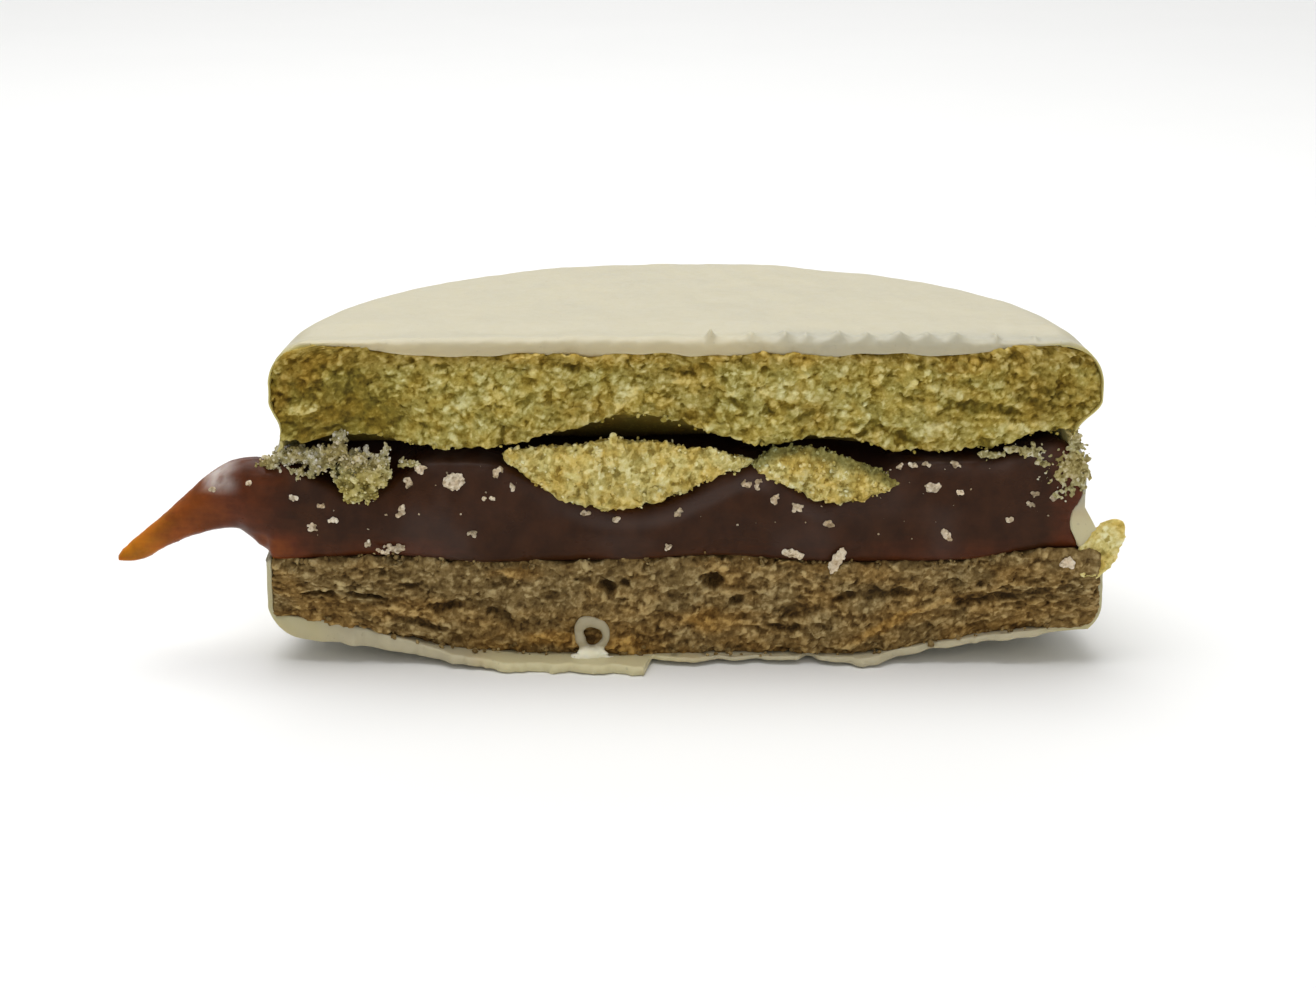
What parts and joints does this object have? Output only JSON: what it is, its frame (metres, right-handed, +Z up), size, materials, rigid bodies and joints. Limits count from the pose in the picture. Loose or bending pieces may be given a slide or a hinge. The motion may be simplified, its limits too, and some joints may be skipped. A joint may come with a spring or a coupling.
{
  "type": "cut alfajor cookie half",
  "caption": "Half of a round alfajor cut through the middle: coated biscuits with a thick caramel filling, and a tail of caramel pulled past one end of the cut.",
  "frame": {"origin": "on the flat middle of the underside, straight below the half disc's centre of area", "axes": "+X along the cut, away from the caramel's tail; +Y away from the cut, into the cookie; +Z up"},
  "size_m": [0.0768, 0.0356, 0.0262],
  "materials": {
    "coating": "set white sugar or white chocolate coating, satin, stands in for confectionery",
    "upper_biscuit": "open yellow-green crumb, matt, stands in for biscuit",
    "lower_biscuit": "porous brown crumb, matt, stands in for biscuit",
    "broken_biscuit": "freshly broken pale yellow crumb, matt, stands in for biscuit",
    "caramel": "dark glossy milk caramel, amber where thin, stands in for caramel"
  },
  "bodies": {
    "root": {"coating": "coating", "biscuit_top": "upper_biscuit", "filling": "caramel", "biscuit_base": "lower_biscuit", "broken_piece_left": "broken_biscuit", "broken_piece_middle": "broken_biscuit", "broken_piece_right": "broken_biscuit"}
  },
  "joints": []
}
